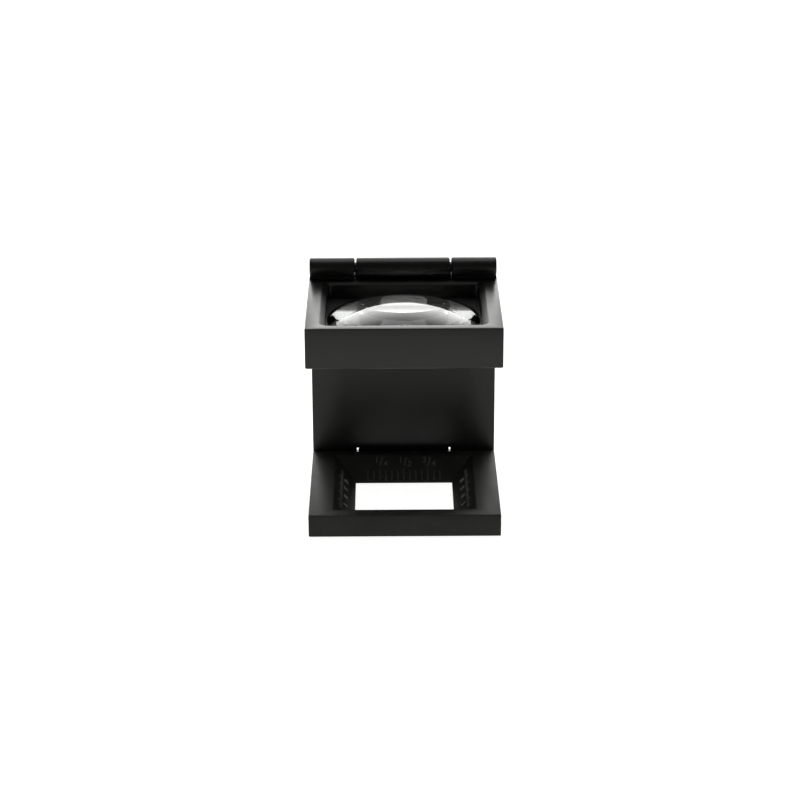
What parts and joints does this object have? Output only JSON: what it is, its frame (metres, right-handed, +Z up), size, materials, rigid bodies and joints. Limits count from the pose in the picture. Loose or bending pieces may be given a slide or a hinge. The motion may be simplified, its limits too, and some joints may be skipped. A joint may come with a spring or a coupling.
{
  "type": "folding viewing loupe",
  "caption": "folding magnifier: a square base frame with a bevelled measuring window, an upright panel and a box-shaped lens head, joined by two knuckle hinges",
  "frame": {"origin": "centre of the footprint (with the bounding box's own centre in plan), on the surface the base stands on", "axes": "+X to the right across the loupe, +Y from the open front to the upright panel at the back, +Z up"},
  "size_m": [0.0488, 0.0448, 0.0598],
  "materials": {
    "black_paint": "satin black paint",
    "matte_black": "matte black moulding",
    "lens_glass": "polished clear glass",
    "steel": "blackened steel pin"
  },
  "bodies": {
    "base": {"base_frame": "black_paint", "lower_pin_left": "steel", "lower_pin_right": "steel"},
    "upright": {"upright_panel": "black_paint"},
    "head": {"head_housing": "black_paint", "lens_carrier": "matte_black", "lens_retainer": "matte_black", "lens": "lens_glass", "upper_pin_left": "steel", "upper_pin_right": "steel"}
  },
  "joints": [
    {"name": "lower_hinge", "type": "hinge", "parent": "base", "child": "upright", "pos_m": [0, 0.0189, 0.0042], "axis": [1, 0, 0], "range_deg": [0, 90]},
    {"name": "upper_hinge", "type": "hinge", "parent": "upright", "child": "head", "pos_m": [0, 0.0199, 0.05735], "axis": [-1, 0, 0], "range_deg": [0, 270]}
  ],
  "couplings": [
    {"joint": "upper_hinge", "follows": "lower_hinge", "ratio": 3}
  ]
}
